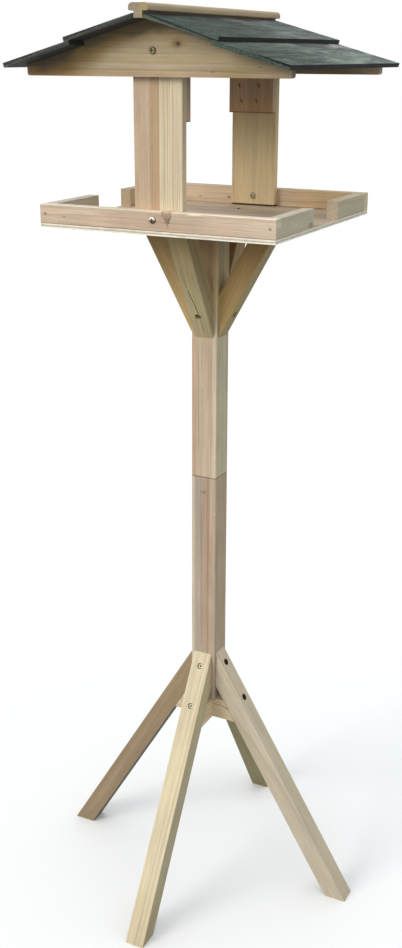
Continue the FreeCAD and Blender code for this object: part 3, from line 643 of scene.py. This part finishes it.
def dress_gables():
    pitch = roof_pitch()
    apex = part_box("gable_front")[1].z
    lap = 86 * MM  # How far from the middle the lower boards start.
    board_step = 5 * MM

    def stain_and_roof_shadow(shader, colour, ragged):
        """Dark band under the roof boards, partly roof stain soaked into the wood and partly painted shadow
        of the roof, most of it left of the ridge.
        """
        x, _, z = shader.coordinates()
        away = shader.magnitude(x)
        drop = shader.subtract(apex, z)
        below = shader.subtract(shader.times(drop, math.cos(pitch)), shader.times(away, math.sin(pitch)))
        lower_board = shader.smooth(away, lap - 0.5 * MM, lap + 0.5 * MM)
        step = shader.times(lower_board, shader.fade(below, 0.0, 14 * MM), board_step)
        below = shader.add(below, 1.8 * MM, step)
        ripple, _ = shader.noise(shader.place(), (60.0, 60.0, 130.0), 61, 3.0)
        below = shader.add(below, shader.times(ripple, 4 * MM))
        left = shader.fade(x, -0.005, 0.055)
        ridge = shader.between(x, -0.034, 0.016, 0.012)
        middle = shader.between(x, -0.108, -0.062, 0.012)
        corner = shader.between(x, -0.151, -0.1, 0.012)
        short_of_end = shader.fade(x, 0.105, 0.125)
        # Painted shadow of the roof, with soaked stain: dark close under the boards, tan below it, deeper in
        # the left corner.
        stain_and_shadow_reach = shader.add(3.5 * MM, shader.times(left, 1.5 * MM), shader.times(ridge, 8 * MM),
                            shader.times(corner, 6 * MM))
        dark = shader.fade(shader.subtract(below, stain_and_shadow_reach), -3 * MM, 3.5 * MM)
        dark = shader.times(dark, short_of_end, shader.add(shader.times(left, 0.2), 0.8))
        spread = shader.add(14 * MM, shader.times(middle, 7 * MM), shader.times(corner, 12 * MM))
        tan = shader.times(shader.fade(shader.subtract(below, spread), -8 * MM, 10 * MM), left)
        deep = shader.times(corner, shader.fade(below, 0.018, 0.024))
        pale = shader.times(shader.smooth(below, 0.034, 0.046), shader.between(x, -0.02, 0.04, 0.02))
        low_ends = shader.times(shader.fade(z, 1.104, 1.11), shader.between(away, 0.078, 0.118, 0.014))
        colour = shader.tint(low_ends, colour, (0.86, 0.85, 0.72))
        streak = shader.times(shader.between(z, 1.1055, 1.1105, 0.002), shader.fade(away, 0.06, 0.1))
        colour = shader.tint(streak, colour, (1.05, 1.05, 1.17))
        colour = shader.tint(tan, colour, (0.78, 0.66, 0.44))
        colour = shader.tint(deep, colour, (0.76, 0.7, 0.68))
        colour = shader.tint(pale, colour, (1.12, 1.11, 1.15))
        stain_and_shade = shader.mix(shader.fade(x, -0.09, -0.04), (0.57, 0.62, 0.8, 1.0), (0.57, 0.68, 1.25, 1.0))
        return shader.mix(dark, colour, stain_and_shade, "MULTIPLY")

    pink = ((186, 162, 130), (164, 138, 106))
    line = (120, 92, 62)
    timber("gable_front", 25, X, Y, (178, 161, 127), (145, 125, 90), ring=6, contrast=0.5,
           pith=(-70, 40), lean=0.02, wander=3, figure=0.9, end_shade=0.4, touch_up=stain_and_roof_shadow,
           knots=[((30.6, -144, 1130.8), 2.6, 0.95)], bands=[(1090, 1103, *pink, 1.6)],
           lines=[((-150, -144, 1104.6), (62, -144, 1103.2), 0.8, line, 0.35),
                  ((50, -144, 1103.6), (150, -144, 1101), 0.7, line, 0.45)],
           marks=[*specks(-144, 2, line, (126, 1107.6, 4.5, 0.8, 0.7), (72, 1102.4, 3.4, 1, 0.6)),
                  ((29, -144, 1131), 7.5, 4.5, 3, (134, 110, 72), 0.55),
                  ((31.2, -144, 1130.4), 2.4, 1.9, 3, (62, 40, 30), 0.85)])

    def shadow_and_lit_end(shader, colour, ragged):
        """The same stain and painted roof shadow, and painted light at the right end."""
        colour = stain_and_roof_shadow(shader, colour, ragged)
        x = shader.add(shader.coordinates()[0], shader.times(ragged, 8 * MM))
        return shader.tint(shader.smooth(x, 0.12, 0.16), colour, (1.8, 1.9, 2.1))

    timber("gable_rear", 26, X, Y, (163, 144, 116), (134, 113, 84), ring=6, contrast=0.5, pith=(60, 36),
           wander=3, touch_up=shadow_and_lit_end)


def dress_cap():
    seam_y = 45 * MM
    tooth = 4 * MM
    front_end = -174.5 * MM
    stem = 7 * MM  # Half its width.

    def finger_joint(shader, colour, ragged):
        """Saw-toothed glue line across the cap, sapwood right of its front end, and shade on the stem."""
        x, y, _ = shader.coordinates()
        zigzag = shader.times(shader.math("PINGPONG", x, tooth / 2), 2.0)
        off = shader.magnitude(shader.subtract(shader.add(y, zigzag), seam_y))
        line = shader.fade(off, 0.2 * MM, 0.7 * MM)
        colour = shader.tint(shader.smooth(y, seam_y - 1 * MM, seam_y + 1 * MM), colour, (0.96, 0.93, 0.9))
        colour = shader.paint(shader.times(line, 0.6), colour, (112, 92, 66))
        front = shader.fade(y, front_end, front_end + 0.5 * MM)
        right = shader.smooth(shader.add(x, shader.times(ragged, 3 * MM)), -1 * MM, 4 * MM)
        colour = shader.paint(shader.times(front, right, 0.7), colour, (188, 169, 118))
        shaded = shader.times(shader.square_to(X, 0.7, 0.9),
                              shader.fade(shader.magnitude(x), stem - 0.5 * MM, stem + 0.5 * MM))
        return shader.tint(shaded, colour, (0.42, 0.4, 0.42))

    # Face tints paint shade on the right side and light on the underside.
    timber("ridge_cap", 27, Y, -Z, (174, 159, 135), (142, 124, 97), ring=3, contrast=0.5, pith=(20, 40),
           end_shade=0.76, face_light_and_tint=[(X, (0.94, 0.9, 0.79)), (-Z, (1.5, 1.36, 1.15))], touch_up=finger_joint)


def roof_pitch():
    low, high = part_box("roof_board_right_upper")
    return math.atan2(high.z - low.z, high.x - low.x)


def stained_board(name, seed):
    """Thin sawn board under a dark green stain that has worn pale along its fibres."""
    low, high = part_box(name)
    shader = Shader("stain_" + name)
    side = 1 if "right" in name else -1
    pitch = roof_pitch()
    inward = Vector((-side * math.sin(pitch), 0, -math.cos(pitch)))
    g = Grain(shader, (low + high) / 2, Y, inward)
    fibres = g.noise(30.0, 560.0, seed, 3.0)
    streaks = g.noise(9.0, 110.0, seed + 13, 3.0)
    clouds = g.noise(11.0, 20.0, seed + 29, 4.0)
    grit = g.noise(260.0, 420.0, seed + 43)
    wear = shader.add(shader.times(streaks, 1.2), clouds, shader.times(grit, 1.1))
    colour = shader.mix(shader.smooth(wear, -0.35, 0.4), tone(53, 62, 59), tone(93, 102, 95))
    teal = shader.smooth(shader.add(clouds, shader.times(streaks, 0.5)), 0.0, 0.2)
    colour = shader.tint(shader.times(teal, 0.6), colour, (0.82, 1.0, 0.98))
    colour = shader.vary(colour, fibres, 0.9)
    smudges = g.noise(17.0, 34.0, seed + 71, 3.0)
    colour = shader.paint(shader.times(shader.smooth(smudges, 0.03, 0.2), 0.55), colour, (108, 108, 107))
    scratches = g.noise(24.0, 260.0, seed + 83)
    colour = shader.scale(colour, shader.add(shader.times(smudges, 1.2), shader.times(scratches, 1.5),
                                             0.8 if "upper" in name else 0.98))
    x, y, _ = shader.coordinates()
    # Painted sheen, together with wear: the boards grow brighter towards the rear and towards the eaves.
    sheen_and_wear = shader.smooth(shader.add(y, shader.magnitude(x), shader.times(clouds, 0.08)), -0.085, 0.27)
    colour = shader.mix(1.0, colour, shader.mix(sheen_and_wear, (0.6, 0.7, 0.63, 1.0), (2.05, 1.96, 2.0, 1.0)),
                        "MULTIPLY")
    cover = (11 if "upper" in name else 93.7) * MM  # How far the cap, or the upper board, hides it.
    # Painted light next to the cap or the upper board, where the shade they cast falls.
    lit_near_cover = shader.fade(shader.subtract(shader.magnitude(x), cover), 1 * MM, 20 * MM)
    colour = shader.tint(lit_near_cover, colour, (1.65, 1.42, 1.52))
    flecks = g.noise(300.0, 420.0, seed + 57, 1.0)
    colour = shader.paint(shader.times(shader.smooth(flecks, 0.24, 0.28), 0.5), colour, (150, 162, 150))

    # The sawn edges and the underside are dark with pooled stain, with painted shade on the lower right board
    # and painted light under the left boards, and the front ends have pale bands along their middles, partly
    # wear and partly painted highlight.
    top = shader.facing(-g.w_axis, 0.6, 0.9)
    black = shader.mix(shader.smooth(grit, -0.2, 0.2), tone(34, 38, 35), tone(46, 50, 46))
    end = shader.square_to(g.u_axis, 0.6, 0.9)
    depth = shader.add(g.w, shader.times(grit, 1.6 * MM))
    ragged = shader.add(clouds, shader.times(grit, 1.5))

    def mottled(reach, one, other):
        return shader.mix(shader.smooth(ragged, -reach, reach), tone(*one), tone(*other))

    if name == "roof_board_right_lower":
        # Painted shade on the lower right board's edges and underside.
        black = shader.scale(black, 0.45)
        face = mottled(0.3, (52, 66, 61), (82, 92, 84))
        face = shader.mix(shader.fade(depth, -2.6 * MM, -1.9 * MM), face, black)
    elif side > 0:
        face = mottled(0.3, (64, 78, 72), (88, 96, 88))
        face = shader.paint(shader.smooth(depth, 1.5 * MM, 2.3 * MM), face, (92, 98, 86))
        face = shader.paint(shader.between(depth, -0.7 * MM, 0.6 * MM, 0.5 * MM), face, (30, 38, 33))
    else:
        # Painted light on the left boards' edges and underside.
        black = tone(60, 59, 56)
        face = mottled(0.3, (54, 56, 53), (68, 70, 67))
        middle = shader.times(shader.between(depth, -0.9 * MM, 0.7 * MM, 0.5 * MM), 0.45)
        face = shader.mix(middle, face, mottled(0.2, (84, 86, 82), (112, 114, 110)))
    colour = shader.mix(top, shader.mix(end, black, face), colour)

    rough = shader.add(shader.times(fibres, 0.3), 0.68)
    height = shader.add(shader.times(fibres, 0.8), streaks, shader.times(grit, 0.5))
    return shader.finish(colour, rough, shader.bump(height, 0.5, 0.6 * MM), Specular_IOR_Level=0.1)


def plywood(name, seed):
    """Thin board of three veneers, weathered grey on its faces and striped on its edges."""
    top = 932.6
    low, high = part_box(name)
    shader = Shader("plywood_" + name)
    g = Grain(shader, (low + high) / 2, X, -Z)
    figure = g.noise(5.0, 46.0, seed, 3.0)
    fibres = g.noise(22.0, 800.0, seed + 5, 3.0)
    blotches = g.noise(16.0, 22.0, seed + 9, 3.0)
    colour = shader.mix(shader.smooth(figure, -0.2, 0.2), tone(218, 197, 172), tone(192, 170, 144))
    colour = shader.vary(colour, blotches, 0.5)
    spots = ((4.4, 80.8, 3.4, 2.6, 0.85), (-18.8, 100.6, 5, 2.4, 0.3), (-12.2, 62.7, 7, 3.4, 0.3),
             (60, 40, 9, 3, 0.2))
    for x, y, along, across, strength in spots:
        distance = shader.add(g.spot((x, y, top), along, across), shader.times(figure, 2.0),
                              shader.times(fibres, 1.2))
        colour = shader.paint(shader.times(shader.fade(distance, 0.4, 1.2), strength), colour, DIRT)

    # Of the three veneers the middle one runs across, so its end grain, which is darker, shows on the edge.
    low_glue = -0.7 * MM
    high_glue = 0.9 * MM
    half_glue = 0.12 * MM
    depth = shader.add(g.w, shader.times(figure, 0.6 * MM))
    core = shader.between(depth, low_glue, high_glue, half_glue)
    glue = shader.add(*(shader.between(depth, middle - half_glue, middle + half_glue, 0.1 * MM)
                        for middle in (low_glue, high_glue)))
    edge = shader.subtract(1.0, shader.square_to(Z, 0.4, 0.6))
    upper = shader.smooth(g.w, -0.2 * MM, 0.2 * MM)
    veneer = shader.mix(upper, tone(236, 227, 211), tone(246, 241, 229))
    veneer = shader.paint(core, veneer, (198, 188, 162))
    veneer = shader.paint(shader.times(glue, 0.35), veneer, (130, 116, 94))
    dents, _ = shader.noise(g.vector, (120.0, 160.0, 500.0), seed + 15, 2.0)
    veneer = shader.vary(veneer, dents, 0.7)
    colour = shader.mix(edge, colour, veneer)
    colour = shader.vary(colour, fibres, 0.5)
    return shader.finish(colour, 0.7, shader.bump(fibres, 0.3, 0.3 * MM), Specular_IOR_Level=0.3)


def metal(name, light, dark, roughness, recess=None, metallic=1.0, shade_and_grime=(34, 27, 20), painted_light=None):
    """Plated steel with dull patches; recess masks the places given painted shade and grime, and the light
    mask the places painted bright as lit.
    """
    shader = Shader(name)
    patches, _ = shader.noise(shader.place(), (700.0, 700.0, 700.0), 3, 2.0)
    bright = shader.smooth(patches, -0.25, 0.25)
    # A light mask paints highlight and lit places over the patches.
    if painted_light is not None:
        bright = shader.smooth(shader.add(painted_light(shader), shader.times(patches, 0.8)), 0.2, 0.8)
    colour = shader.mix(bright, tone(*dark), tone(*light))
    if recess is not None:
        # Painted shade and grime in the recesses.
        colour = shader.paint(recess(shader), colour, shade_and_grime)
    rough = shader.add(shader.times(patches, 0.5), roughness)
    return shader.finish(colour, rough, shader.bump(patches, 0.2, 0.1 * MM), Metallic=metallic)


def plate(name, *looks):
    """Gives one node of screws a metal of its own."""
    dress(name, metal("zinc_" + name, *looks))


def lit_upper_half(name):
    """Mask of the upper half of a screw head, where a highlight is painted over the shaded lower half."""
    low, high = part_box(name)

    def painted_light(shader):
        return shader.smooth(shader.height(), low.z + 1.0 * MM, high.z - 1.0 * MM)
    return painted_light


def pan_recess(name, outward):
    """Mask of a pan head's cross recess and of its rim, where painted shade and grime go."""
    low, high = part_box(name)
    middle = (low + high) / 2
    radius = (high.x - low.x) / 2
    crown = high.dot(outward) if outward.dot(Vector((1, 1, 1))) > 0 else low.dot(outward)

    def recess(shader):
        x, _, z = shader.split(shader.vector("SUBTRACT", shader.place(), middle))
        from_axis = shader.length(x, 0.0, z)
        depth = shader.subtract(crown, shader.dot(shader.place(), outward))
        inside = shader.times(shader.fade(from_axis, radius * 0.5, radius * 0.62),
                              shader.smooth(depth, 0.4 * MM, 0.8 * MM))
        rim = shader.times(shader.smooth(from_axis, radius * 0.8, radius), 0.75)
        return shader.math("MAXIMUM", inside, rim)
    return recess


def sunk_recess(node, sign):
    """Mask of the cross recesses in flush heads, folded so that one formula serves all four sides."""
    _, inward = leaning(node, sign)
    low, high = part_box(node)
    face = Vector((high.x, 0, low.z)) if sign < 0 else Vector((high.x, 0, high.z))

    def recess(shader):
        x, y, z = shader.coordinates()
        out = shader.math("MAXIMUM", shader.magnitude(x), shader.magnitude(y))
        depth = shader.add(shader.times(out, inward.x), shader.times(z, inward.z), -face.dot(inward))
        return shader.smooth(depth, 2.8 * MM, 3.3 * MM)
    return recess


def with_axis_shade(recess, point, direction):
    """A recess mask with a spot of painted shade and grime added on the axis of one screw."""
    def mask(shader):
        spot = shader.fade(shader.off_axis(point, direction), 0.9 * MM, 1.6 * MM)
        return shader.math("MAXIMUM", recess(shader), shader.times(spot, 0.85))
    return mask


def dress_fasteners():
    zinc = ((214, 206, 188), (138, 128, 108))
    wire = metal("wire", (110, 98, 84), (66, 56, 46), 0.4)
    pin = metal("pin", (164, 142, 120), (132, 112, 92), 0.5, metallic=0.4)
    plain = metal("zinc", *zinc, 0.25)
    for name in nodes:
        if "pins" in name:
            dress(name, pin)
        elif "nails" in name or "staples" in name:
            dress(name, wire)
        elif "screw" in name:
            dress(name, plain)
    for name, outward in (("gable_screw_front", -Y), ("gable_screw_rear", Y)):
        plate(name, (168, 154, 108), (108, 96, 62), 0.4, pan_recess(name, outward), 0.4, (54, 44, 26))
    name = "pole_lock_screw"
    plate(name, (216, 198, 172), (160, 142, 120), 0.45, pan_recess(name, -Y), 0.3, (98, 84, 66))
    name = "post_screw_front"
    # Painted highlight on the upper half of the head and painted shade on the lower half.
    plate(name, (240, 232, 212), (92, 74, 46), 0.35, pan_recess(name, -Y), 0.4, (62, 48, 30),
          lit_upper_half(name))
    name = "post_screw_rear"
    plate(name, (212, 198, 168), (168, 152, 122), 0.5, pan_recess(name, -Y), 0.15, (128, 112, 86))

    def lit_front_heads(shader):
        """Mask of the heads that face the front, which are painted pale as lit, while the other heads are
        painted dark as shade in their holes.
        """
        x, y, _ = shader.coordinates()
        return shader.smooth(shader.subtract(shader.times(y, -1.0), shader.magnitude(x)), 0.0, 2 * MM)

    into = turned_to(leaning("leg_right", -1)[1], "front")
    for name in LEG_SCREWS:
        # The front heads are painted pale as lit and the others dark as shade, with painted shade in the
        # recesses.
        plate(name, (250, 240, 210), (64, 52, 42), 0.55,
              with_axis_shade(sunk_recess("leg_right", -1), head_middle(name, "front", into), into),
              0.1, (46, 34, 22), lit_front_heads)
    for side in SIDES:
        plate("brace_screw_" + side, *zinc, 0.45, sunk_recess("brace_right", 1))


def direct_view(shader):
    """1 for rays from the camera, in a reflection or through glass, and 0 for rays that only light."""
    path = shader.node("LightPath")
    seen = shader.math("MAXIMUM", path.outputs["Is Camera Ray"], path.outputs["Is Glossy Ray"])
    return shader.math("MAXIMUM", seen, path.outputs["Is Transmission Ray"])


def make_stage():
    """Pale floor, even sky light and one wide soft key light from the front left."""
    half = 12.0
    mesh = bpy.data.meshes.new("floor")
    corners = [(-half, -half, 0), (half, -half, 0), (half, half, 0), (-half, half, 0)]
    mesh.from_pydata(corners, [], [(0, 1, 2, 3)])
    floor = bpy.data.objects.new("floor", mesh)
    bpy.context.scene.collection.objects.link(floor)
    lighting = (0.15, 0.15, 0.145, 1.0)
    seen = (0.88, 0.88, 0.88, 1.0)
    shader = Shader("floor")
    diffuse = shader.node("BsdfDiffuse")
    shader.put(diffuse.inputs["Color"], shader.mix(direct_view(shader), lighting, seen))
    shader.put(shader.node("OutputMaterial").inputs[0], diffuse.outputs[0])
    mesh.materials.append(shader.owner)

    world = bpy.data.worlds.new("sky")
    bpy.context.scene.world = world
    lighting = (0.96, 1.0, 1.02, 1.0)
    seen = (1.0, 1.0, 1.0, 1.0)
    shader = Shader("sky", world)
    background = shader.node("Background")
    shader.put(background.inputs["Color"], shader.mix(direct_view(shader), lighting, seen))
    shader.put(shader.node("OutputWorld").inputs[0], background.outputs[0])

    lamp = bpy.data.lights.new("key", "SUN")
    lamp.energy = 1.5
    lamp.angle = math.radians(30)
    lamp.color = (1.0, 0.95, 0.89)
    key = bpy.data.objects.new("key", lamp)
    toward_light = Vector((-0.42, -0.8, 0.42))
    key.rotation_euler = toward_light.to_track_quat("Z", "Y").to_euler()
    bpy.context.scene.collection.objects.link(key)


def make_camera():
    """The photograph's camera, solved from the object's own edges."""
    place = Vector((649.8, -1323.9, 1121.3)) * MM
    yaw = math.radians(26.58)
    pitch = math.radians(19.57)
    roll = math.radians(0.163)
    focal_pixels = 1184.4
    picture_height = 948
    data = bpy.data.cameras.new("camera")
    data.sensor_width = 36.0
    data.lens = focal_pixels * data.sensor_width / picture_height
    camera = bpy.data.objects.new("camera", data)
    forward = Vector((-math.sin(yaw) * math.cos(pitch), math.cos(yaw) * math.cos(pitch), -math.sin(pitch)))
    turn = forward.to_track_quat("-Z", "Y").to_matrix() @ Matrix.Rotation(roll, 3, "Z")
    camera.matrix_world = Matrix.Translation(place) @ turn.to_4x4()
    bpy.context.scene.collection.objects.link(camera)
    bpy.context.scene.camera = camera


make_camera()
make_stage()
dress_legs()
dress_braces()
dress_pole()
dress_tray()
dress_posts()
dress_gables()
dress_cap()
boards = sorted(name for name in nodes if name.startswith("roof_board_") and "nails" not in name)
for seed, name in enumerate(boards, 40):
    dress(name, stained_board(name, seed))
dress("tray_floor", plywood("tray_floor", 50))
dress_fasteners()

bpy.context.scene.view_settings.view_transform = "Standard"
